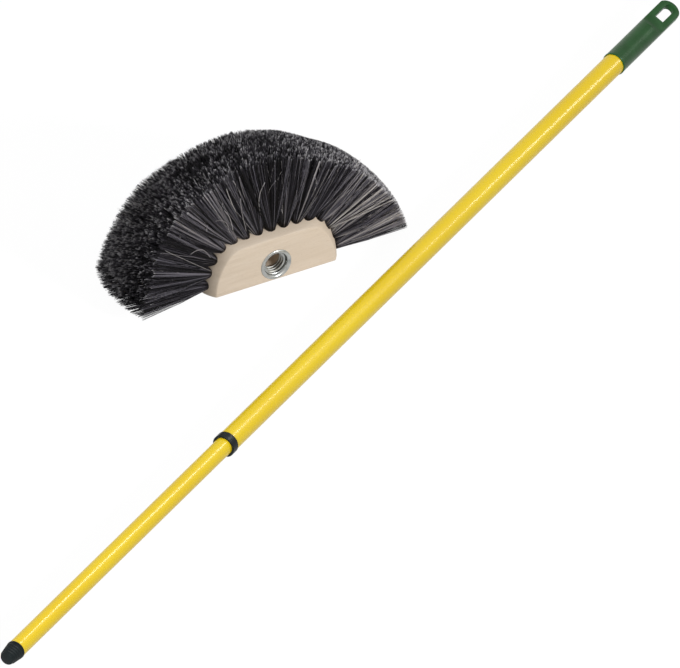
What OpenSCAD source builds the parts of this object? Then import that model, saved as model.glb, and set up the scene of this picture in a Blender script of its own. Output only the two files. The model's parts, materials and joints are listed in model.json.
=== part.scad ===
// Half-round cobweb brush head with horsehair tufts, and its two-part telescopic handle.
// Units are mm. Z is up, the floor is z = 0, the handle lies along +Y.

/* [Handle] */
// outside diameter of the outer tube
outer_od = 22.8; // [22.4:0.2:23.2]
// outside diameter of the inner tube
inner_od = 19.0; // [18.6:0.2:19.4]
// wall of both tubes
tube_wall = 0.7; // [0.6:0.1:0.8]
// length of the outer tube
outer_length = 831; // [805:1:831]
// length of the inner tube
inner_length = 800; // [760:1:800]
// bare inner tube between tip and collar at rest
shown_length = 398.5; // [380:0.5:440]
// length of the hanging cap
cap_length = 120; // [116:1:126]
// thickness of the cap's flat tab
tab_thickness = 8; // [7:0.5:10]
// turn of the tab about the handle
tab_turn = 28; // [0:1:40]

/* [Head] */
// radius of the block's front face
face_radius = 68; // [66:0.5:70]
// height of the block's flat top above its base
face_height = 50.2; // [49:0.2:52]
// depth of the block
block_depth = 52; // [50:1:54]
// bulge of the round rim
side_bulge = 10; // [8:0.5:11]
// bulge of the flat top
top_bulge = 8; // [7:0.5:9]
// height of the thread's axis above the base
insert_height = 18.6; // [18.4:0.1:20]
// free length of the hair
hair_length = 83; // [76:1:86]
// depth of the tuft holes
hole_depth = 13; // [11:0.5:14]

/* [Hidden] */
handle_x = 124.81;
axis_z = 12.5;
collar_y = -238.75;
head_x = 14.11;
head_y = 51.1;
head_turn = 59.3;
outer_r = outer_od / 2;
outer_in = outer_r - tube_wall;
inner_r = inner_od / 2;
inner_in = inner_r - tube_wall;
outer_y = collar_y + 3;
tip_y = collar_y - shown_length;
lock_y = tip_y + inner_length;
cap_y = collar_y + 774;
cap_end = cap_y + cap_length;
tube_end = outer_y + outer_length;
corner_turn = 21.2;
corner_height = 60.5;
corner_bulge = 9.5;
row_y = [12, 28, 43];
row_n = [15, 14, 15];
row_name = ["front", "mid", "back"];
hair_r = 4.2;
hole_r = 4.3;
pin_gap = 0.9;

$fs = 0.6;
$fa = 4;

function pad(i) = str(i < 10 ? "0" : "", i);
function tuft_name(j, i) = str("tuft_", row_name[j], "_", pad(i + 1));

steel_yellow = "#F0D62D";
plastic_green = "#2F5A34";
plastic_black = "#23262A";
zinc = "#B9BCC0";
beech = "#D2BE9C";
hair_black = "#2B2A2E";

module along_handle(y = 0) translate([handle_x, y, axis_z]) rotate([-90, 0, 0]) children();
module on_head() translate([head_x, head_y, 0]) rotate([0, 0, head_turn]) children();
module turned() rotate([-90, 0, 0]) rotate_extrude() children();

module ring(r1, r2, h) difference() {
  cylinder(r = r2, h = h);
  translate([0, 0, -1]) cylinder(r = r1, h = h + 2);
}

module outer_tube() color(steel_yellow)
  along_handle(outer_y) ring(outer_in, outer_r, outer_length);

module inner_tube() color(steel_yellow)
  along_handle(tip_y) ring(inner_in, inner_r, inner_length);

// guide bush in the mouth of the outer tube, with the black ring seen outside
module guide_collar() color(plastic_black) along_handle(collar_y) rotate_extrude() polygon([
  [inner_r + 0.09, 0.6], [inner_r + 0.5, 0], [11.7, 0], [12.2, 0.5], [12.2, 8.6], [11.9, 9],
  [outer_r, 9], [outer_r, 3], [outer_in, 3], [outer_in, 33], [outer_in - 0.4, 34],
  [inner_r + 0.09, 34]]);

module cap_blank() {
  cylinder(r = 12.3, h = cap_length);
  rotate_extrude() polygon([[11, 0], [12.5, 0], [12.5, 2.4], [12.2, 3.4], [11, 3.4]]);
}

module cap_scoop() {
  run = 58.5;
  scoop_r = 19;
  translate([-20, tab_thickness / 2, cap_length - run + scoop_r]) cube([40, 20, 60]);
  translate([-20, tab_thickness / 2 + scoop_r, cap_length - run + scoop_r])
    rotate([0, 90, 0]) cylinder(r = scoop_r, h = 40);
}

module cap_slot() rotate([90, 0, 0]) linear_extrude(60, center = true) {
  translate([-5, cap_length - 30.9]) square([10, 21.9]);
  translate([0, cap_length - 9]) circle(r = 5);
}

module hang_cap() color(plastic_green) along_handle(cap_y) rotate([0, 0, tab_turn]) difference() {
  intersection() {
    cap_blank();
    union() {
      translate([-20, -20, -1]) cube([40, 40, cap_length - 11.3]);
      translate([0, 20, cap_length - 12.3]) rotate([90, 0, 0]) cylinder(r = 12.3, h = 40);
    }
  }
  translate([0, 0, -1]) cylinder(r = outer_r, h = tube_end - cap_y + 1);
  cap_scoop();
  mirror([0, 1, 0]) cap_scoop();
  cap_slot();
}

// tapered handle thread, drawn as ridges
tip_ribs = 5;
module thread_tip() color(plastic_black) along_handle(tip_y - 18) rotate_extrude() polygon(concat(
  [[0, 0], [6.6, 0], [7.1, 0.5]],
  [for (k = [0:tip_ribs - 1]) let (z = 0.7 + k * 3.1, a = 7.1 + 2.2 * k / (tip_ribs - 1))
     each [[a, z], [a + 0.7, z + 0.9], [a + 0.7, z + 1.4], [a + 0.1, z + 2.3]]],
  [[9.4, 16.0], [10.0, 16.4], [10.0, 18], [inner_in, 18], [inner_in, 48], [inner_in - 0.8, 49], [6, 49],
   [6, 8], [0, 8]]));

// plug in the inner tube's far end, with the tapered and threaded stud of the twist lock
stud_ribs = 12;
module lock_stud() color(plastic_black) along_handle(lock_y) difference() {
  rotate_extrude() polygon(concat(
    [[0, -28], [inner_in - 0.6, -28], [inner_in, -27], [inner_in, 0], [inner_r, 0], [inner_r, 3],
     [8.4, 3], [5.4, 15]],
    [for (k = [0:stud_ribs - 1]) let (z = 15.4 + k * 2)
       each [[4.6, z], [5.0, z + 0.6], [5.0, z + 1.0], [4.6, z + 1.6]]],
    [[4.6, 40], [0, 40]]));
  translate([0, 0, 28]) cylinder(r = 2, h = 20);
}

module lock_sleeve() color(plastic_black) along_handle(lock_y) difference() {
  rotate_extrude() polygon([
    [7.7, 6.2], [outer_in - 0.8, 6.2], [outer_in - 0.3, 7.2], [outer_in - 0.3, 13],
    [outer_in - 0.8, 13.5], [outer_in - 0.8, 15], [outer_in - 0.3, 15.5], [outer_in - 0.3, 22],
    [outer_in - 0.8, 22.5], [outer_in - 0.8, 24], [outer_in - 0.3, 24.5], [outer_in - 0.3, 38.7],
    [outer_in - 0.8, 39.7], [5.09, 39.7], [5.09, 15.6], [5.5, 15.0]]);
  for (a = [0, 90]) rotate([0, 0, a]) translate([-20, -0.7, 5]) cube([40, 1.4, 21]);
}

module stop_washer() color(zinc) along_handle(lock_y + 40) ring(2.3, 7.6, 1.2);

module stop_screw() color(zinc) along_handle(lock_y + 41.2) difference() {
  union() {
    translate([0, 0, -12]) cylinder(r = 2, h = 12.4);
    rotate_extrude() polygon([[0, 0], [4.4, 0], [4.4, 1.2], [3.6, 2.2], [2.4, 2.8], [0, 2.8]]);
  }
  for (a = [0, 90]) rotate([0, 0, a]) translate([-2.4, -0.5, 1.4]) cube([4.8, 1, 3]);
}

// rim of the block: radius and height at depth y
function lens_r(b) = (block_depth * block_depth / 4 + b * b) / (2 * b);
function lens(y, b) = sqrt(pow(lens_r(b), 2) - pow(y - block_depth / 2, 2)) - lens_r(b) + b;
function side_at(y) = face_radius + lens(y, side_bulge);
function top_at(y) = face_height + lens(y, top_bulge);
function fan_at(t, y) = min(side_at(y), top_at(y) / max(sin(t), 0.01));
function rim_at(t, y) = min(fan_at(t, y),
  (corner_height + lens(y, corner_bulge)) / cos(min(t, 180 - t) - 90 + corner_turn));

// fan angle for a place u (0 to 1) along the rim
function half_angle(s) = let (r = side_at(26), z = top_at(26), c = asin(z / r), arc = r * c * PI / 180,
  flat = r * cos(c), w = 2 * s * (arc + flat))
  w < arc ? w / r * 180 / PI : atan2(z, flat - (w - arc));
function angle_at(u) = u <= 0.5 ? half_angle(u) : 180 - half_angle(1 - u);

// where the cut hair ends lie: u along the rim, v through the depth
function lean_at(t, v) = let (s = sin(t) * sin(t), c = cos(t), a = -11 + 14 * s - 4 * c,
  b = 32.4 - 0.9 * s - 6.4 * c - 12.1 * s * c) a + (b - a) * v;
function hair_at(t, v) = let (s = sin(t) * sin(t), c = cos(t))
  hair_length - 0.5 * s + 6.5 * c + 8.8 * s * c - s * c * c * (28.4 - 21.6 * c)
  + (1.5 + 4 * pow(max(c, 0), 24)) * v;
function on_fan(t, r, y) = [-r * cos(t), y, r * sin(t)];
function end_at(u, v, f = 1) = let (t = 5 + 170 / 180 * angle_at(u), y = 9 + 34 * v,
  l = hair_at(t, v) * f, a = lean_at(t, v))
  on_fan(t, fan_at(t, y) + l * cos(a), y + l * sin(a));
function root_at(u, y) = let (t = angle_at(u)) on_fan(t, rim_at(t, y), y);

function unit(v) = v / norm(v);
function hole_u(j, i) = 0.047 + 0.906 * (i + (j == 1 ? 0.5 : 0)) / 14;
function tuft_u(j, i) = (i + 0.5) / row_n[j];
function tuft_v(j) = (2 * j + 1) / 6;
function tuft_frame(j, i) = let (p = root_at(hole_u(j, i), row_y[j]),
  d = unit(end_at(tuft_u(j, i), tuft_v(j)) - p), b = unit([0, 1, 0] - d[1] * d)) [cross(b, d), b, d, p];

module at_root(j, i) {
  f = tuft_frame(j, i);
  multmatrix([for (k = [0:2]) [f[0][k], f[1][k], f[2][k], f[3][k]]]) children();
}

// plank with a crowned top, as high as h at its faces
module crowned(h, bulge) rotate([90, 0, 90]) linear_extrude(200, center = true) {
  translate([0, -80]) square([block_depth, h + 70]);
  intersection() {
    translate([block_depth / 2, h + bulge - lens_r(bulge)]) circle(r = lens_r(bulge));
    translate([0, 10]) square([block_depth, 80]);
  }
}

module block_blank() intersection() {
  turned() {
    square([40, block_depth]);
    intersection() {
      translate([face_radius + side_bulge - lens_r(side_bulge), block_depth / 2])
        circle(r = lens_r(side_bulge));
      translate([30, 0]) square([80, block_depth]);
    }
  }
  translate([-100, 0, 0]) cube([200, block_depth, 100]);
  crowned(face_height, top_bulge);
  rotate([0, corner_turn, 0]) crowned(corner_height, corner_bulge);
  rotate([0, -corner_turn, 0]) crowned(corner_height, corner_bulge);
}

module head_block() color(beech) on_head() difference() {
  block_blank();
  translate([0, -1, insert_height]) rotate([-90, 0, 0]) cylinder(r = 13, h = 15);
  translate([0, 1, insert_height]) rotate([-90, 0, 0]) cylinder(r = 11, h = 37);
  for (j = [0:2]) for (i = [0:row_n[j] - 1])
    at_root(j, i) translate([0, 0, -hole_depth - pin_gap]) cylinder(r = hole_r, h = hole_depth + 8);
}

insert_ribs = 4;
module thread_insert() color(zinc) on_head() translate([0, 0, insert_height]) turned()
  polygon(concat(
    [[13, 14], [13, 0], [17.1, 0], [17.1, -0.5], [16.4, -1.2], [14.8, -1.4], [14.3, -1.3], [11.6, 1.3]],
    [for (k = [0:insert_ribs - 1]) let (y = 1.5 + k * 3.1)
       each [[11.3, y], [9.6, y + 1.1], [9.6, y + 1.6], [11.3, y + 2.7]]],
    [[11.3, 14]]));

module anchors(j) color(zinc) on_head()
  for (i = [0:row_n[j] - 1]) at_root(j, i)
    translate([-4, -0.7, -hole_depth - pin_gap]) cube([8, 1.4, pin_gap]);

// one tuft: a hexagonal bundle in its hole, with eleven strands grown from its end
function hex(k) = [cos(60 * k), sin(60 * k), 0];
function grid(m) = m == 0 ? [0, 0, 0] : m < 7 ? hex(m - 1) / 2 :
  let (k = floor((m - 7) / 2)) m % 2 == 1 ? hex(k) : (hex(k) + hex(k + 1)) / 2;
function cell_in(k) = [0, 1 + k, 1 + (k + 1) % 6];
function cell_a(k) = [1 + k, 7 + 2 * k, 8 + 2 * k];
function cell_b(k) = [1 + k, 8 + 2 * k, 1 + (k + 1) % 6];
function cell_c(k) = [1 + (k + 1) % 6, 8 + 2 * k, 7 + 2 * ((k + 1) % 6)];
hair_cells = concat([cell_in(2), cell_in(4)],
  [for (k = [0, 2, 4]) each [cell_a(k), cell_c(k)]], [for (k = [1, 3, 5]) cell_b(k)]);
flat_cells = concat([cell_in(0)], [for (k = [1, 3, 5]) each [cell_in(k), cell_a(k), cell_c(k)]],
  [for (k = [0, 2, 4]) cell_b(k)]);
function flip(f) = [f[2], f[1], f[0]];
function noise(n) = let (s = sin(n * 78.233) * 437.585) s - floor(s);

module tuft(j, i) color(hair_black) on_head() {
  f = tuft_frame(j, i);
  u = tuft_u(j, i);
  v = tuft_v(j);
  top = [for (m = [0:18]) let (g = grid(m) * hair_r) f[3] + g[0] * f[0] + g[1] * f[1] + 0.6 * f[2]];
  low = [for (m = [7:18]) top[m] - (hole_depth + 0.6) * f[2]];
  ends = [for (n = [0:10]) let (c = (grid(hair_cells[n][0]) + grid(hair_cells[n][1])
      + grid(hair_cells[n][2])) / 3, w = noise(n + 13 * i + 211 * j),
      e = end_at(u + c[0] * 0.63 / row_n[j], v + c[1] * 0.24, 0.97 + 0.05 * w))
    each [for (m = hair_cells[n]) let (g = (grid(m) - c) * 1.7) e + g[0] * f[0] + g[1] * f[1]]];
  polyhedron(
    points = concat(top, low, [f[3] - hole_depth * f[2]], ends),
    faces = concat(
      [for (c = flat_cells) flip(c)],
      [for (k = [0:11]) let (n = (k + 1) % 12)
         each [flip([19 + k, 19 + n, 7 + n]), flip([19 + k, 7 + n, 7 + k]), [19 + k, 19 + n, 31]]],
      [for (n = [0:10]) let (c = hair_cells[n], e = 32 + 3 * n)
         each [for (m = [0:2]) let (q = (m + 1) % 3)
           each [flip([c[m], c[q], e + q]), flip([c[m], e + q, e + m])]]],
      [for (n = [0:10]) let (e = 32 + 3 * n) [e + 2, e + 1, e]]));
}

outer_tube();
guide_collar();
hang_cap();
lock_sleeve();
inner_tube();
thread_tip();
lock_stud();
stop_washer();
stop_screw();
head_block();
thread_insert();
anchors(0);  // anchors_front
anchors(1);  // anchors_mid
anchors(2);  // anchors_back
for (j = [0:2]) for (i = [0:row_n[j] - 1])
  tuft(j, i);
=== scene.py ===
import json
import math

import bpy
import numpy as np
from mathutils import Matrix, Vector

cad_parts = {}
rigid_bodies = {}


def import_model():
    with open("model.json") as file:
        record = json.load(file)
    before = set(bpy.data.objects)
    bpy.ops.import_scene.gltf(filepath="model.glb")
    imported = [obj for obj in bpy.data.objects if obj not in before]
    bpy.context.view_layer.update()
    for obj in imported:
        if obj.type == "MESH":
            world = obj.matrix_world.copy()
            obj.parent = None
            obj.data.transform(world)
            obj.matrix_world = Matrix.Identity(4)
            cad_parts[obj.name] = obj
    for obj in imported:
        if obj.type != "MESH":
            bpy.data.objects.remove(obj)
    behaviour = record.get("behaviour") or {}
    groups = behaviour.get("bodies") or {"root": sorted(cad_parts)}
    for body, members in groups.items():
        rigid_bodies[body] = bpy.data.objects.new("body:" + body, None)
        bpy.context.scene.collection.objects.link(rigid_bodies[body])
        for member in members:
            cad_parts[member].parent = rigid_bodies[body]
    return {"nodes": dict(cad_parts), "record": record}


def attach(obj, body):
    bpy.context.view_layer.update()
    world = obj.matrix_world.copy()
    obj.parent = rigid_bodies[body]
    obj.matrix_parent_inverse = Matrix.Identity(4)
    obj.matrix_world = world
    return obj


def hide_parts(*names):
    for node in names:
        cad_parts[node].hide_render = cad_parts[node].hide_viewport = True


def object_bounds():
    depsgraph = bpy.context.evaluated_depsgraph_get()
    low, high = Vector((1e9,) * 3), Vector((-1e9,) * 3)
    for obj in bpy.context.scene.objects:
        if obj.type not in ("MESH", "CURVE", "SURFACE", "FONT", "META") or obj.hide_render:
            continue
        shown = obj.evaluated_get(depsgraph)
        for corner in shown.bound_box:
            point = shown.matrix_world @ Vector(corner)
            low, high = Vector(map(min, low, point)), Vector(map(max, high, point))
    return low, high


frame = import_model()
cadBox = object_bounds()
mm = 0.001
mounts = {mount["name"]: mount for mount in frame["record"]["mounts"]}

# The head has its own place and turn: x along the block, y into it, z up, from its face.
halfBlock = 26 * mm
headOut = Vector(mounts["head_thread"]["axis"])
headTurn = math.atan2(headOut.x, -headOut.y)
headOrigin = Vector(mounts["head_base"]["pos_m"]) + headOut * halfBlock
headPlace = Matrix.Translation(headOrigin) @ Matrix.Rotation(headTurn, 4, "Z")
threadHeight = mounts["head_thread"]["pos_m"][2]
handleX, _, handleZ = mounts["handle_thread"]["pos_m"]
print("frame loaded, head turned", round(math.degrees(headTurn), 1), "degrees")


def linear(hexText):
    channels = [int(hexText[k:k + 2], 16) / 255 for k in (1, 3, 5)]
    return [c / 12.92 if c <= 0.04045 else ((c + 0.055) / 1.055) ** 2.4 for c in channels] + [1]


def addNode(tree, kind, inputs=None, **settings):
    made = tree.nodes.new(kind)
    for key, value in settings.items():
        setattr(made, key, value)
    for key, value in (inputs or {}).items():
        if isinstance(value, bpy.types.NodeSocket):
            tree.links.new(value, made.inputs[key])
        else:
            made.inputs[key].default_value = value
    return made


def startMaterial(name, **settings):
    material = bpy.data.materials.new(name)
    material.use_nodes = True
    tree = material.node_tree
    shader = tree.nodes["Principled BSDF"]
    for key, value in settings.items():
        shader.inputs[key.replace("_", " ")].default_value = value
    return material, tree, shader


def colourRamp(tree, factor, stops):
    ramp = addNode(tree, "ShaderNodeValToRGB", {"Fac": factor})
    elements = ramp.color_ramp.elements
    for k, (place, colour) in enumerate(stops):
        element = elements[k] if k < 2 else elements.new(place)
        element.position = place
        element.color = linear(colour)
    return ramp.outputs["Color"]


# Camera: a long lens, so that both pieces are seen almost without perspective. The middle of the
# block's lower front edge is seen baseLeft and baseDown pixels from the picture's corner.
photo = {"width": 680, "height": 668, "azimuth": 30.54, "elevation": 35.3,
         "lens": 1400, "sensor": 36, "baseLeft": 276, "baseDown": 279.2}


def placeCamera():
    a, e = math.radians(photo["azimuth"]), math.radians(photo["elevation"])
    right = Vector((math.cos(a), math.sin(a), 0))
    ahead = Vector((-math.sin(a), math.cos(a), 0))
    look = ahead * math.cos(e) - Vector((0, 0, math.sin(e)))
    distance = photo["lens"] * photo["width"] / photo["sensor"] * mm
    acrossMiss = (photo["width"] / 2 - photo["baseLeft"]) * mm
    downMiss = (photo["height"] / 2 - photo["baseDown"]) * mm / math.sin(e)
    target = headOrigin + right * acrossMiss - ahead * downMiss
    camera = bpy.data.objects.new("camera", bpy.data.cameras.new("camera"))
    bpy.context.scene.collection.objects.link(camera)
    camera.data.lens = photo["lens"]
    camera.data.sensor_width = photo["sensor"]
    camera.data.clip_start, camera.data.clip_end = 1, 100
    camera.location = target - look * distance
    camera.rotation_mode = "QUATERNION"
    camera.rotation_quaternion = look.to_track_quat("-Z", "Y")
    bpy.context.scene.camera = camera
    return right, ahead


cameraRight, cameraAhead = placeCamera()


# Lamp directions are told as the camera sees them: to the right, away from it, and up. The head
# and the handle are lit apart, as the photograph has them. The two strip lamps run beside the
# handle's ends and show only in reflections, as a thin line on the tubes. A strip's end is a share
# of the half length, and its lean off the upright in degrees.
studio = {
    "skyLight": 0.36, "floorSize": 30, "floorGlow": 1.1, "shadowShare": 0.12,
    "handleReach": 30 * mm,
    "lamps": {
        "headKey": {"from": (0.70, -0.60, 0.38), "far": 4.0, "size": 0.6, "power": 132},
        "handleKey": {"from": (-0.17, -0.79, 0.57), "far": 9.0, "size": 10.0, "power": 960}},
    "strips": {"tipStrip": ((-1.1, 14), (-0.36, 30)), "capStrip": ((0.35, 40), (1.2, 61))},
    "strip": {"far": 1.0, "width": 0.2, "power": 7}}


def makeLamp(name, place, turn, power, **settings):
    light = bpy.data.lights.new(name, "AREA")
    light.energy = power
    for key, value in settings.items():
        setattr(light, key, value)
    holder = bpy.data.objects.new(name, light)
    bpy.context.scene.collection.objects.link(holder)
    holder.location = place
    holder.rotation_mode = "QUATERNION"
    holder.rotation_quaternion = turn
    holder.light_linking.receiver_collection = bpy.data.collections.new(name + "Lights")
    return holder


def makeLamps():
    for name, lamp in studio["lamps"].items():
        right, ahead, up = lamp["from"]
        outward = (cameraRight * right + cameraAhead * ahead + Vector((0, 0, up))).normalized()
        makeLamp(name, outward * lamp["far"], (-outward).to_track_quat("-Z", "Y"), lamp["power"],
                 size=lamp["size"], shape="DISK")
    strip = studio["strip"]
    for name, places in studio["strips"].items():
        ends = []
        for share, lean in places:
            beside = Vector((math.sin(math.radians(lean)), 1, math.cos(math.radians(lean))))
            ends.append(Vector((handleX, share * cadBox[1][1], handleZ)) + beside * strip["far"])
        middle, along = (ends[0] + ends[1]) / 2, (ends[1] - ends[0]).normalized()
        outward = middle - Vector((handleX, middle.y - strip["far"], handleZ))
        outward = (outward - along * outward.dot(along)).normalized()
        turn = Matrix((along, outward.cross(along), outward)).transposed().to_quaternion()
        holder = makeLamp(name, middle, turn, strip["power"], shape="RECTANGLE",
                          size=(ends[1] - ends[0]).length, size_y=strip["width"])
        holder.visible_diffuse = False


# Each lamp lights its own pieces. The floor goes with the head.
def shareLamps():
    for piece in bpy.context.scene.objects:
        if piece.type != "MESH":
            continue
        xs = [(piece.matrix_world @ Vector(corner)).x for corner in piece.bound_box]
        onHandle = abs((min(xs) + max(xs)) / 2 - handleX) < studio["handleReach"]
        for name in ("handleKey", *studio["strips"]) if onHandle else ("headKey",):
            bpy.data.collections[name + "Lights"].objects.link(piece)


# Seen by the camera or in a reflection: 1, and 0 for the light that falls on things.
def seenDirectly(tree):
    rays = addNode(tree, "ShaderNodeLightPath")
    return addNode(tree, "ShaderNodeMath", {
        0: rays.outputs["Is Camera Ray"], 1: rays.outputs["Is Glossy Ray"]},
        operation="MAXIMUM").outputs[0]


def makeStudio():
    world = bpy.data.worlds.new("studio")
    bpy.context.scene.world = world
    world.use_nodes = True
    tree = world.node_tree
    strength = addNode(tree, "ShaderNodeMix", {
        "Factor": seenDirectly(tree), "A": studio["skyLight"], "B": 1.0}, data_type="FLOAT")
    background = tree.nodes["Background"]
    background.inputs["Color"].default_value = (1, 1, 1, 1)
    tree.links.new(strength.outputs["Result"], background.inputs["Strength"])

    bpy.ops.mesh.primitive_plane_add(size=studio["floorSize"], location=(0, 0, -0.4 * mm))
    floor = bpy.context.object
    floor.name = "floor"
    material, tree, shader = startMaterial(
        "whitePaper", Base_Color=linear("#CCCCCC"), Roughness=0.9)
    glow = addNode(tree, "ShaderNodeEmission", {
        "Color": (1, 1, 1, 1), "Strength": studio["floorGlow"]})
    share = addNode(tree, "ShaderNodeMath", {
        0: seenDirectly(tree), 1: 1 - studio["shadowShare"]}, operation="MULTIPLY")
    mixed = addNode(tree, "ShaderNodeMixShader", {
        0: share.outputs[0], 1: shader.outputs[0], 2: glow.outputs[0]})
    tree.links.new(mixed.outputs[0], tree.nodes["Material Output"].inputs["Surface"])
    floor.data.materials.append(material)

    bpy.context.scene.view_settings.view_transform = "Standard"


makeStudio()
makeLamps()
print("camera and studio made")


def noise(tree, place, size, detail=2.0, roughness=0.5):
    return addNode(tree, "ShaderNodeTexNoise", {
        "Vector": place, "Scale": 1 / size, "Detail": detail,
        "Roughness": roughness}).outputs["Fac"]


def ranged(tree, value, **limits):
    inputs = {key.replace("_", " "): limit for key, limit in limits.items()}
    return addNode(tree, "ShaderNodeMapRange", {"Value": value, **inputs}).outputs["Result"]


def mixedColour(tree, share, first, second, blend="MULTIPLY"):
    return addNode(tree, "ShaderNodeMix", {0: share, 6: first, 7: second}, data_type="RGBA",
                   blend_type=blend).outputs[2]


def roughen(tree, shader, height, strength, distance):
    bump = addNode(tree, "ShaderNodeBump", {
        "Height": height, "Strength": strength, "Distance": distance})
    tree.links.new(bump.outputs["Normal"], shader.inputs["Normal"])


# Powder-coated steel: smooth and glossy, with a slight orange peel of about 2 mm.
def powderCoat():
    material, tree, shader = startMaterial(
        "yellowPowderCoat", Roughness=0.4, Specular_IOR_Level=0.2,
        Coat_Weight=0.3, Coat_Roughness=0.17)
    place = addNode(tree, "ShaderNodeTexCoord").outputs["Object"]
    clouds = noise(tree, place, 90 * mm)
    tree.links.new(colourRamp(tree, clouds, [(0.3, "#EFCC10"), (0.7, "#F3D31A")]),
                   shader.inputs["Base Color"])
    roughen(tree, shader, noise(tree, place, 2 * mm, 1.0), 0.02, 0.2 * mm)
    return material


# Moulded plastic: satin, with a fine spark-eroded grain of the tool, drawn 0.5 mm coarse to show.
def mouldedPlastic(name, dark, pale, rough):
    material, tree, shader = startMaterial(name, Roughness=rough, Specular_IOR_Level=0.14)
    place = addNode(tree, "ShaderNodeTexCoord").outputs["Object"]
    clouds = noise(tree, place, 14 * mm, 4.0)
    tree.links.new(colourRamp(tree, clouds, [(0.32, dark), (0.68, pale)]),
                   shader.inputs["Base Color"])
    scuffs = noise(tree, place, 5 * mm, 6.0)
    tree.links.new(ranged(tree, scuffs, To_Min=rough - 0.07, To_Max=rough + 0.09),
                   shader.inputs["Roughness"])
    roughen(tree, shader, noise(tree, place, 0.5 * mm), 0.12, 0.1 * mm)
    return material


# Zinc plate on turned steel: bright, with a few dull patches.
def zincPlate():
    material, tree, shader = startMaterial("zincPlate", Metallic=1.0, Roughness=0.3)
    place = addNode(tree, "ShaderNodeTexCoord").outputs["Object"]
    patches = noise(tree, place, 6 * mm, 5.0)
    tree.links.new(colourRamp(tree, patches, [(0.3, "#949694"), (0.7, "#B4B5B2")]),
                   shader.inputs["Base Color"])
    tree.links.new(ranged(tree, patches, To_Min=0.2, To_Max=0.42), shader.inputs["Roughness"])
    return material


# Raw beech: sawn along the block, pale, with brown flecks 2 to 3 mm long and soft growth bands.
def rawBeech():
    material, tree, shader = startMaterial("rawBeech", Roughness=0.62, IOR=1.45)
    place = addNode(tree, "ShaderNodeTexCoord").outputs["Object"]

    def stretched(x, y, z):
        return addNode(tree, "ShaderNodeMapping", {
            "Vector": place, "Location": headOrigin, "Rotation": (0, 0, headTurn),
            "Scale": (x * mm, y * mm, z * mm)}, vector_type="TEXTURE").outputs["Vector"]

    bands = noise(tree, stretched(120, 22, 9), 1.0, 5.0, 0.6)
    base = colourRamp(tree, bands, [(0.25, "#C3B4A1"), (0.5, "#CBBCAA"), (0.8, "#D2C5B5")])
    fibres = noise(tree, stretched(18, 0.8, 0.8), 1.0, 3.0)
    streaks = colourRamp(tree, fibres, [(0.35, "#E6DDD0"), (0.65, "#FFFFFF")])
    cells = addNode(tree, "ShaderNodeTexVoronoi", {
        "Vector": stretched(5.5, 1.1, 1.1), "Scale": 1.0})
    flecks = colourRamp(tree, cells.outputs["Distance"], [(0.1, "#B08A5E"), (0.22, "#FFFFFF")])
    finished = mixedColour(tree, 0.22, mixedColour(tree, 0.22, base, streaks), flecks)
    tree.links.new(finished, shader.inputs["Base Color"])
    roughen(tree, shader, fibres, 0.25, 0.15 * mm)
    return material


# Horsehair: black, grey and brown hairs mixed, each in one tone, with painted shade darkening
# the foot. The paler ones have a painted highlight on their cut ends.
def horsehair():
    material, tree, shader = startMaterial("horsehair", Roughness=0.34, Specular_IOR_Level=0.2)
    tone = addNode(tree, "ShaderNodeAttribute", attribute_name="hairTone").outputs["Fac"]
    along = addNode(tree, "ShaderNodeAttribute", attribute_name="hairAlong").outputs["Fac"]
    hairs = colourRamp(tree, tone, [
        (0.0, "#040405"), (0.3, "#18161A"), (0.5, "#3C3940"), (0.72, "#807D86"),
        (0.88, "#A39D9E"), (1.0, "#DCD7D2")])
    # Painted shade: the hairs are darkened towards the foot, where they crowd out of the hole.
    paintedRootShade = colourRamp(tree, along, [
        (0.0, "#3A302A"), (0.06, "#7A706A"), (0.16, "#D8D8D8"), (1.0, "#FFFFFF")])
    shaded = mixedColour(tree, 1.0, hairs, paintedRootShade)
    # Painted highlight: the cut ends of the paler hairs are made pale grey.
    cut = ranged(tree, along, From_Min=0.975, From_Max=1.0)
    pale = ranged(tree, tone, From_Min=0.56, From_Max=0.74, To_Max=0.95)
    paintedEndGlint = addNode(tree, "ShaderNodeMath", {0: cut, 1: pale}, operation="MULTIPLY").outputs[0]
    tree.links.new(mixedColour(tree, paintedEndGlint, shaded, linear("#DEDCDE"), "MIX"),
                   shader.inputs["Base Color"])
    return material


materials = {
    "painted_steel": powderCoat(),
    "green_plastic": mouldedPlastic("greenPolypropylene", "#1E4A20", "#27562A", 0.34),
    "black_plastic": mouldedPlastic("blackPolypropylene", "#0E1415", "#182021", 0.36),
    "zinc_steel": zincPlate(),
    "beech": rawBeech(),
    "horsehair": horsehair(),
}
for part in frame["record"]["subparts"]:
    mesh = frame["nodes"][part["node"]].data
    mesh.materials.clear()
    mesh.materials.append(materials[part["material_slot"]])
print("materials made")


# Form of the block, in mm, as the drawing has it, but with its corners rounded in one sweep. The
# higher the blend, the tighter the corners. A drill starts "above" the surface.
block = {"faceRadius": 68, "faceHeight": 50.2, "depth": 52, "sideBulge": 10, "topBulge": 8,
         "blend": 17, "around": 150, "through": 26, "edge": 0.9,
         "holes": {"radius": 4.3, "depth": 13, "above": 6},
         "mouth": {"radius": 13, "depth": 14, "above": 2},
         "bore": {"radius": 11, "depth": 38, "above": 2}}


# Height of a flat arch over the depth of the block.
def lens(y, bulge):
    radius = (block["depth"] ** 2 / 4 + bulge ** 2) / (2 * bulge)
    return np.sqrt(radius ** 2 - (y - block["depth"] / 2) ** 2) - radius + bulge


# Radius of the block's rim at a fan angle and a depth.
def rimAt(t, y):
    side = block["faceRadius"] + lens(y, block["sideBulge"])
    top = block["faceHeight"] + lens(y, block["topBulge"])
    blend = block["blend"]
    return (side ** -blend + (np.sin(t) / top) ** blend) ** (-1 / blend)


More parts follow.
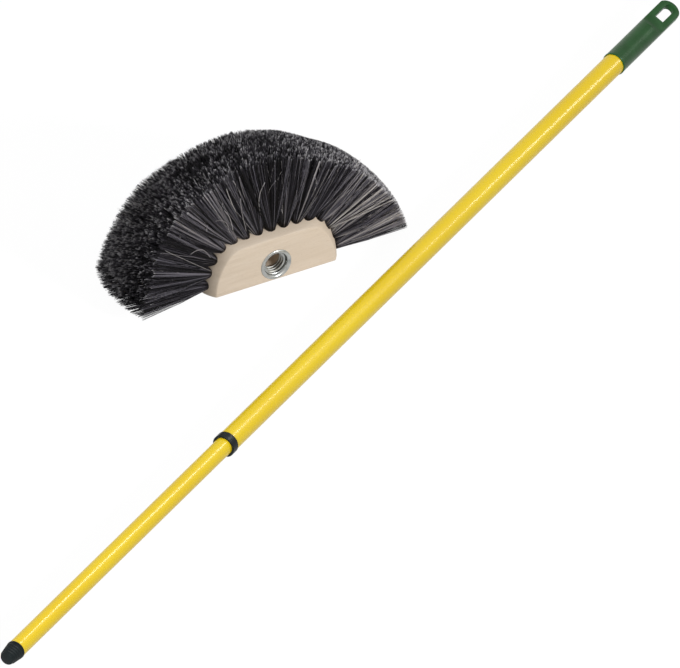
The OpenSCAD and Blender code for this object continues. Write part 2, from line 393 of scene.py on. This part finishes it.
# Fan angle of a place u, 0 to 1, along the rim: round sides, then the flat top.
def angleAt(u):
    middle = block["depth"] / 2
    r = block["faceRadius"] + lens(middle, block["sideBulge"])
    z = block["faceHeight"] + lens(middle, block["topBulge"])
    corner = math.asin(z / r)
    arc, flat = r * corner, r * math.cos(corner)
    way = 2 * np.minimum(u, 1 - u) * (arc + flat)
    half = np.where(way < arc, way / r, np.arctan2(z, flat - (way - arc)))
    return np.where(u <= 0.5, half, math.pi - half)


def onFan(t, r, y):
    return np.stack([-r * np.cos(t), y + 0 * t, r * np.sin(t)], -1)


# Where a hair ends: u runs round the fan and v from the front to the back, both 0 to 1. The angles
# and lengths are fitted to the photograph's outline, as in the drawing.
def endAt(u, v, share):
    t = math.radians(5) + 170 / 180 * angleAt(u)
    y = 9 + 34 * v
    s, c = np.sin(t) ** 2, np.cos(t)
    forward = -11 + 14 * s - 4 * c
    back = 32.4 - 0.9 * s - 6.4 * c - 12.1 * s * c
    lean = np.radians(forward + (back - forward) * v)
    length = 83 - 0.5 * s + 6.5 * c + 8.8 * s * c - s * c * c * (28.4 - 21.6 * c)
    filled = 3 * np.exp(-((c + 0.42) / 0.14) ** 2)
    length = (length + (1.5 + 4 * np.maximum(c, 0) ** 24 + filled) * v) * share
    return onFan(t, rimAt(t, y) + length * np.cos(lean), y + length * np.sin(lean))


def unit(vectors):
    return vectors / np.linalg.norm(vectors, axis=-1, keepdims=True)


# Rows are given as depth in mm and number of tufts. Hairs cling together in locks, which share
# their tone, their length and their way. Sizes are in mm. How long a hair is, against the outline
# that endAt has, is a share.
hair = {"rows": {"front": (12, 15), "mid": (28, 14), "back": (43, 15)},
        "firstHole": 0.047, "strandsPerTuft": 1200, "rootRadius": 4.0, "sunk": 4.0,
        "rootThickness": 0.22, "endThickness": 0.14, "steps": (0, 0.2, 0.55, 0.975, 1.0),
        "cellOverlap": (1.9, 1.15), "wander": 0.12, "bow": 1.0,
        "mouth": 3, "flare": 0.55, "firstPull": 0.15, "secondAhead": 0.55, "secondAside": 0.7,
        "locks": 320, "lockPull": 0.65, "lockShare": 0.8, "lockLength": 0.009,
        "share": 1.006, "shareSpread": 0.008, "longest": 1.02,
        "paintedLightRight": 0.28, "paintedShadeTop": 0.075,
        "strayShare": 0.004, "straySpread": (1.0, 1.6), "strayLength": (-0.12, 0.03),
        "strayBow": 5, "strayTone": (0.8, 1)}
looseHair = {"perTuft": 3, "thicker": 1.9, "steps": 16, "length": (45, 80), "tone": (0.82, 1),
             "before": (1.5, 3.5), "sunk": 3}
random = np.random.default_rng(41)


# Foot of a tuft, the way it points, and the directions into the block's depth and along its rim.
def tuftFrame(rowNumber, rowDepth, count, number):
    first, gaps = hair["firstHole"], hair["rows"]["front"][1] - 1
    holePlace = first + (1 - 2 * first) * (number + (0.5 if rowNumber == 1 else 0)) / gaps
    angle = angleAt(np.array(holePlace))
    root = onFan(angle, rimAt(angle, rowDepth), rowDepth)
    u, v = (number + 0.5) / count, (2 * rowNumber + 1) / 6
    outward = unit(endAt(np.array(u), v, 1) - root)
    deep = unit(np.array([0, 1, 0]) - outward[1] * outward)
    return root, outward, deep, np.cross(deep, outward), u, v


# Each hair is a curve with four points: its foot, two that bend it out of the hole and over to
# its end, and the end. Painted light makes the right of the fan paler, most in front, and painted
# shade makes the top darker.
def tuftStrands(rowNumber, rowDepth, count, number):
    total = hair["strandsPerTuft"]
    root, outward, deep, wide, u, v = tuftFrame(rowNumber, rowDepth, count, number)
    spot = random.uniform(-1, 1, (total, 2))
    radius = np.abs(spot).max(1) / np.maximum(np.linalg.norm(spot, axis=1), 1e-6)
    disc = spot * radius[:, None] * hair["rootRadius"]
    centres = random.uniform(-1, 1, (hair["locks"], 2))
    nearest = np.linalg.norm(spot[:, None] - centres[None], axis=2).argmin(1)
    pull = hair["lockPull"] * random.uniform(0.3, 1, (total, 1))
    spread = (spot + (centres[nearest] - spot) * pull) * np.array(hair["cellOverlap"])
    tone = random.uniform(0, 1, total)
    tone += (random.uniform(0, 1, hair["locks"])[nearest] - tone) * hair["lockShare"]
    # Painted light makes hairs on the right of the fan paler; painted shade makes those on the top
    # darker.
    tone += hair["paintedLightRight"] * (u - 0.5) * (1.3 - 1.5 * v)
    tone -= hair["paintedShadeTop"] * math.sin(math.pi * u) ** 2
    stray = random.uniform(0, 1, total) < hair["strayShare"]
    spread[stray] *= random.uniform(*hair["straySpread"], (stray.sum(), 1))

    start = root - outward * hair["sunk"] + disc[:, :1] * wide + disc[:, 1:] * deep
    lockLength = random.normal(0, hair["lockLength"], hair["locks"])
    share = hair["share"] + random.normal(0, hair["shareSpread"], total) + lockLength[nearest]
    share = np.minimum(share, hair["longest"])
    share[stray] += random.uniform(*hair["strayLength"], stray.sum())
    aside = random.normal(0, hair["wander"], 2) * min(1, number, count - 1 - number)
    place = 1 - np.abs(1 - np.abs(u + (spread[:, 0] + aside[0]) / 2 / count))
    end = endAt(place, v + (spread[:, 1] + aside[1]) / 6, share)
    tone = np.clip(tone + aside[0] * 0.5, 0, 1)
    bow = random.normal(0, hair["bow"], (total, 3))
    bow[stray] *= hair["strayBow"]
    mouth = start + outward * (hair["sunk"] + hair["mouth"])
    mouth = mouth + hair["flare"] * (start - root + outward * hair["sunk"])
    pull = hair["firstPull"]
    first = mouth * (1 - pull) + (start + (end - start) * 0.33) * pull
    reach = end - mouth
    ahead = (reach @ outward)[:, None] * outward
    second = mouth + ahead * hair["secondAhead"] + (reach - ahead) * hair["secondAside"] + bow
    tone[stray] = random.uniform(*hair["strayTone"], stray.sum())
    return start, first, second, end, tone


# Pale loose hairs that curl over the front of a tuft.
def looseStrands(number):
    total = looseHair["perTuft"]
    depth, count = hair["rows"]["front"]
    root, outward, deep, wide, u, v = tuftFrame(0, depth, count, number)
    aside = random.normal(0, 1, (3, total, 1)) * wide
    before = random.uniform(*looseHair["before"], (total, 1))
    start = root - outward * looseHair["sunk"] - deep * before + aside[0]
    length = random.uniform(*looseHair["length"], (total, 1))
    first = start + outward * length * 0.3 + aside[1] * 5 - deep * 2
    second = start + outward * length * 0.7 + aside[2] * 14 - deep * 7
    end = start + outward * length + (aside[2] * 6 + aside[1] * 8) - deep * 9
    return start, first, second, end, random.uniform(*looseHair["tone"], total)


# All hairs of some tufts as one mesh: thin three-sided rods along their curves, with closed ends.
def strandMesh(name, tufts, steps, thicker=1.0):
    steps = np.array(steps)
    start, first, second, end, tone = (np.concatenate(part) for part in zip(*tufts))
    count, rings = len(start), len(steps)
    t = steps[None, :, None]
    path = (start[:, None] * (1 - t) ** 3 + 3 * first[:, None] * t * (1 - t) ** 2
            + 3 * second[:, None] * t ** 2 * (1 - t) + end[:, None] * t ** 3)
    along = unit(end - start)
    side = unit(np.cross(along, random.normal(0, 1, (count, 3))))
    other = np.cross(along, side)
    thickness = hair["rootThickness"] + (hair["endThickness"] - hair["rootThickness"]) * steps
    thickness = thickness * thicker
    corners = []
    for k in range(3):
        turn = 2 * math.pi * k / 3
        offset = side * math.cos(turn) + other * math.sin(turn)
        corners.append(path + offset[:, None] * thickness[None, :, None])
    vertices = np.stack(corners, 2).reshape(-1, 3) * mm
    place = np.array(headPlace)
    vertices = vertices @ place[:3, :3].T + place[:3, 3]

    first = np.arange(count)[:, None] * rings * 3
    walls = []
    for ring in range(rings - 1):
        for k in range(3):
            a, b = ring * 3 + k, ring * 3 + (k + 1) % 3
            wall = np.stack([first + a, first + b, first + b + 3, first + a + 3], -1)
            walls.append(wall.reshape(-1, 4))
    quads = np.concatenate(walls)
    last = (rings - 1) * 3
    caps = np.concatenate([np.concatenate([first + 2, first + 1, first], 1),
                           np.concatenate([first + last, first + last + 1, first + last + 2], 1)])
    mesh = bpy.data.meshes.new(name)
    mesh.vertices.add(len(vertices))
    mesh.vertices.foreach_set("co", vertices.ravel())
    loops = np.concatenate([quads.ravel(), caps.ravel()])
    mesh.loops.add(len(loops))
    mesh.loops.foreach_set("vertex_index", loops)
    mesh.polygons.add(len(quads) + len(caps))
    mesh.polygons.foreach_set("loop_start", np.concatenate([
        np.arange(len(quads)) * 4, len(quads) * 4 + np.arange(len(caps)) * 3]))
    mesh.update(calc_edges=True)
    values = {"hairTone": np.repeat(tone, rings * 3),
              "hairAlong": np.tile(np.repeat(steps, 3), count)}
    for key, value in values.items():
        attribute = mesh.attributes.new(key, "FLOAT", "POINT")
        attribute.data.foreach_set("value", value.astype(np.float32))
    mesh.shade_smooth()
    mesh.materials.append(materials["horsehair"])
    piece = bpy.data.objects.new(name, mesh)
    bpy.context.scene.collection.objects.link(piece)
    return piece


def makeHair():
    for rowNumber, (row, (depth, count)) in enumerate(hair["rows"].items()):
        thirds = np.array_split(np.arange(count), 3)
        for side, numbers in zip(("Left", "Top", "Right"), thirds):
            tufts = [tuftStrands(rowNumber, depth, count, n) for n in numbers]
            piece = strandMesh("hair" + row.capitalize() + side, tufts, hair["steps"])
            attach(piece, "head")
            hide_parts(*[f"tuft_{row}_{n + 1:02d}" for n in numbers])
    tufts = [looseStrands(n) for n in range(1, hair["rows"]["front"][1] - 1)]
    steps = np.linspace(0, 1, looseHair["steps"])
    piece = strandMesh("hairLoose", tufts, steps, looseHair["thicker"])
    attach(piece, "head")


makeHair()
print("hair made")


weldLimit = 0.002 * mm


def deselectAll():
    if bpy.context.object and bpy.context.object.mode != "OBJECT":
        bpy.ops.object.mode_set(mode="OBJECT")
    bpy.ops.object.select_all(action="DESELECT")


def activate(piece):
    deselectAll()
    piece.select_set(True)
    bpy.context.view_layer.objects.active = piece


def applyModifier(piece, kind, **settings):
    activate(piece)
    modifier = piece.modifiers.new(kind.title(), kind)
    for key, value in settings.items():
        setattr(modifier, key, value)
    bpy.ops.object.modifier_apply(modifier=modifier.name)


def smooth(piece, degrees):
    activate(piece)
    bpy.ops.object.shade_smooth_by_angle(angle=math.radians(degrees))


# The drawing's own solid with its sharp edges eased.
def easedCopy(nodeName, name, body, slot, width, segments, corner):
    piece = bpy.data.objects.new(name, frame["nodes"][nodeName].data.copy())
    bpy.context.scene.collection.objects.link(piece)
    activate(piece)
    bpy.ops.mesh.customdata_custom_splitnormals_clear()
    bpy.ops.object.mode_set(mode="EDIT")
    bpy.ops.mesh.select_all(action="SELECT")
    bpy.ops.mesh.remove_doubles(threshold=weldLimit)
    bpy.ops.mesh.dissolve_limited(angle_limit=math.radians(0.5))
    bpy.ops.object.mode_set(mode="OBJECT")
    applyModifier(piece, "BEVEL", width=width * mm, segments=segments, limit_method="ANGLE",
                  angle_limit=math.radians(corner), use_clamp_overlap=True)
    smooth(piece, 30)
    dress(piece, body, slot, nodeName)


def dress(piece, body, slot, *nodeNames):
    piece.data.materials.clear()
    piece.data.materials.append(materials[slot])
    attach(piece, body)
    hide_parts(*nodeNames)


# A turned form: a circle is drawn out ring by ring along its axis, as on a lathe.
def turnedForm(name, profile, around=96):
    deselectAll()
    (radius, height), closed = profile[0], profile[0] == profile[-1]
    bpy.ops.mesh.primitive_circle_add(vertices=around, radius=radius * mm, location=(0, 0, 0))
    piece = bpy.context.object
    piece.name = name
    bpy.ops.object.mode_set(mode="EDIT")
    bpy.ops.mesh.select_all(action="SELECT")
    bpy.ops.transform.translate(value=(0, 0, height * mm))
    for nextRadius, nextHeight in profile[1:]:
        bpy.ops.mesh.extrude_region_move()
        bpy.ops.transform.resize(value=(nextRadius / radius, nextRadius / radius, 1),
                                 center_override=(0, 0, 0))
        bpy.ops.transform.translate(value=(0, 0, (nextHeight - height) * mm))
        radius, height = nextRadius, nextHeight
    bpy.ops.mesh.select_all(action="SELECT")
    bpy.ops.mesh.remove_doubles(threshold=weldLimit)
    if not closed:
        bpy.ops.mesh.select_all(action="DESELECT")
        bpy.ops.mesh.select_non_manifold()
        bpy.ops.mesh.fill_holes(sides=0)
    bpy.ops.mesh.select_all(action="SELECT")
    bpy.ops.mesh.normals_make_consistent(inside=False)
    bpy.ops.object.mode_set(mode="OBJECT")
    return piece


# One ridge of a thread, screwed round the axis. It fades out over half a turn at each end. Its
# faces look away from the axis where it rises outward, and to the axis where it rises inward.
def threadRidge(name, thread):
    half, turns, around = thread["width"] / 2, thread["turns"], 64
    profile = [(0, -half), (1, -half * 0.35), (1, half * 0.35), (0, half)]
    mesh = bpy.data.meshes.new(name)
    corners = [(thread["root"] * mm, 0, z * mm) for _, z in profile]
    mesh.from_pydata(corners, [(0, 1), (1, 2), (2, 3)], [])
    piece = bpy.data.objects.new(name, mesh)
    bpy.context.scene.collection.objects.link(piece)
    applyModifier(piece, "SCREW", angle=2 * math.pi * turns, iterations=1,
                  screw_offset=thread["pitch"] * turns * mm, use_merge_vertices=False,
                  steps=int(around * turns), render_steps=int(around * turns),
                  use_normal_flip=thread["rise"] > 0)
    for vertex in piece.data.vertices:
        rise, offset = profile[vertex.index % len(profile)]
        height = vertex.co.z / mm
        turn = (height - offset) / thread["pitch"]
        fade = max(0, min(1, 2 * turn, 2 * (turns - turn)))
        radius = thread["root"] + thread["taper"] * height + thread["sink"]
        radius += (thread["rise"] - thread["sink"]) * rise * fade
        vertex.co.x *= radius / thread["root"]
        vertex.co.y *= radius / thread["root"]
        vertex.co.z += thread["from"] * mm
    return piece


# A turned form with its thread, and its axis laid along the y axis of its place.
def threadedForm(name, form, place, body, slot, nodeName):
    piece = turnedForm(name, form["outline"])
    ridge = threadRidge(name + "Ridge", form["thread"])
    activate(piece)
    ridge.select_set(True)
    bpy.ops.object.join()
    piece.data.transform(place @ Matrix.Rotation(-math.pi / 2, 4, "X"))
    smooth(piece, 35)
    dress(piece, body, slot, nodeName)


# A drill for a hole whose mouth is at the origin of its place, and which goes down from there.
def drill(hole, place):
    depth, above = hole["depth"] * mm, hole["above"] * mm
    bpy.ops.mesh.primitive_cylinder_add(vertices=40, radius=hole["radius"] * mm,
                                        depth=depth + above, location=(0, 0, 0))
    cutter = bpy.context.object
    cutter.name = "drill"
    cutter.data.transform(place @ Matrix.Translation((0, 0, (above - depth) / 2)))
    return cutter


# The rim is a grid that is bent over the fan angle. Base, face and back are filled in, and the
# tufts' holes and the insert's stepped bore are drilled out.
def makeBlock():
    deselectAll()
    bpy.ops.mesh.primitive_grid_add(x_subdivisions=block["around"], y_subdivisions=block["through"],
                                    size=2, location=(0, 0, 0))
    piece = bpy.context.object
    piece.name = "block"
    bpy.ops.object.mode_set(mode="EDIT")
    bpy.ops.mesh.select_mode(type="VERT")
    bpy.ops.mesh.select_all(action="DESELECT")
    bpy.ops.object.mode_set(mode="OBJECT")
    for vertex in piece.data.vertices:
        angle, y = math.pi * (vertex.co.x + 1) / 2, block["depth"] * (vertex.co.y + 1) / 2
        vertex.co = onFan(angle, rimAt(angle, y), y) * mm
        vertex.select = vertex.co.z < 0.01 * mm
    bpy.ops.object.mode_set(mode="EDIT")
    bpy.ops.mesh.edge_face_add()
    bpy.ops.mesh.select_all(action="DESELECT")
    bpy.ops.mesh.select_non_manifold()
    bpy.ops.mesh.fill_holes(sides=0)
    bpy.ops.mesh.select_all(action="SELECT")
    bpy.ops.mesh.normals_make_consistent(inside=False)
    bpy.ops.object.mode_set(mode="OBJECT")
    piece.data.transform(headPlace)
    applyModifier(piece, "BEVEL", width=block["edge"] * mm, segments=2, limit_method="ANGLE",
                  angle_limit=math.radians(40), use_clamp_overlap=True)

    faceOut = Matrix.Translation((0, 0, threadHeight)) @ Matrix.Rotation(math.pi / 2, 4, "X")
    drills = [drill(block[hole], headPlace @ faceOut) for hole in ("mouth", "bore")]
    for rowNumber, (rowDepth, count) in enumerate(hair["rows"].values()):
        for number in range(count):
            root, outward, deep, wide, _, _ = tuftFrame(rowNumber, rowDepth, count, number)
            turn = Matrix((wide, deep, outward)).transposed().to_4x4()
            place = headPlace @ Matrix.Translation(Vector(root) * mm) @ turn
            drills.append(drill(block["holes"], place))
    for cutter in drills:
        applyModifier(piece, "BOOLEAN", object=cutter, operation="DIFFERENCE", solver="MANIFOLD")
        bpy.data.objects.remove(cutter)
    activate(piece)
    bpy.ops.object.mode_set(mode="EDIT")
    bpy.ops.mesh.select_all(action="SELECT")
    bpy.ops.mesh.remove_doubles(threshold=2 * weldLimit)
    bpy.ops.mesh.dissolve_degenerate(threshold=2 * weldLimit)
    bpy.ops.object.mode_set(mode="OBJECT")
    smooth(piece, 30)
    dress(piece, "head", "beech", "head_block")


makeBlock()
print("block made")


# Threaded insert: a thin dished flange round a tapered bore with a coarse thread.
insert = {
    "outline": [(13, 14), (13, 0), (17.1, 0), (17.1, -0.5), (16.8, -0.9), (16.3, -1.2),
                (15.2, -1.4), (14.4, -1.3), (13.5, -0.8), (12.8, 0.2), (12.5, 1), (10.7, 14),
                (13, 14)],
    "thread": {"root": 12.3, "rise": -1.3, "sink": 0.1, "width": 1.7, "pitch": 3.1,
               "turns": 4.0, "from": 1.3, "taper": -0.14}}
threadedForm("threadedInsert", insert, headPlace @ Matrix.Translation((0, 0, threadHeight)),
             "head", "zinc_steel", "thread_insert")
print("insert made")

# Threaded tip of the handle: a cone with a coarse thread, and the plug that holds it in the tube.
tip = {
    "outline": [(6.4, 0), (6.8, 0.15), (7.1, 0.6), (9.35, 16), (9.9, 16.2), (10, 16.5),
                (10, 17.8), (9.8, 18), (8.8, 18), (8.8, 48), (8, 49)],
    "coneLength": 18,
    "thread": {"root": 7.15, "rise": 0.75, "sink": -0.1, "width": 1.9, "pitch": 3.1,
               "turns": 4.7, "from": 1.2, "taper": 0.14}}
tipEnd = mounts["handle_thread"]["pos_m"][1] - tip["coneLength"] / 2 * mm
threadedForm("threadedTip", tip, Matrix.Translation((handleX, tipEnd, handleZ)),
             "inner", "black_plastic", "thread_tip")
print("tip made")

# Hanging cap: its edges are rounded by the moulding tool.
cap = {"edge": 0.9, "segments": 3, "corner": 30}
easedCopy("hang_cap", "hangCap", "handle", "green_plastic",
          cap["edge"], cap["segments"], cap["corner"])
print("cap made")


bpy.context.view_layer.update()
shareLamps()
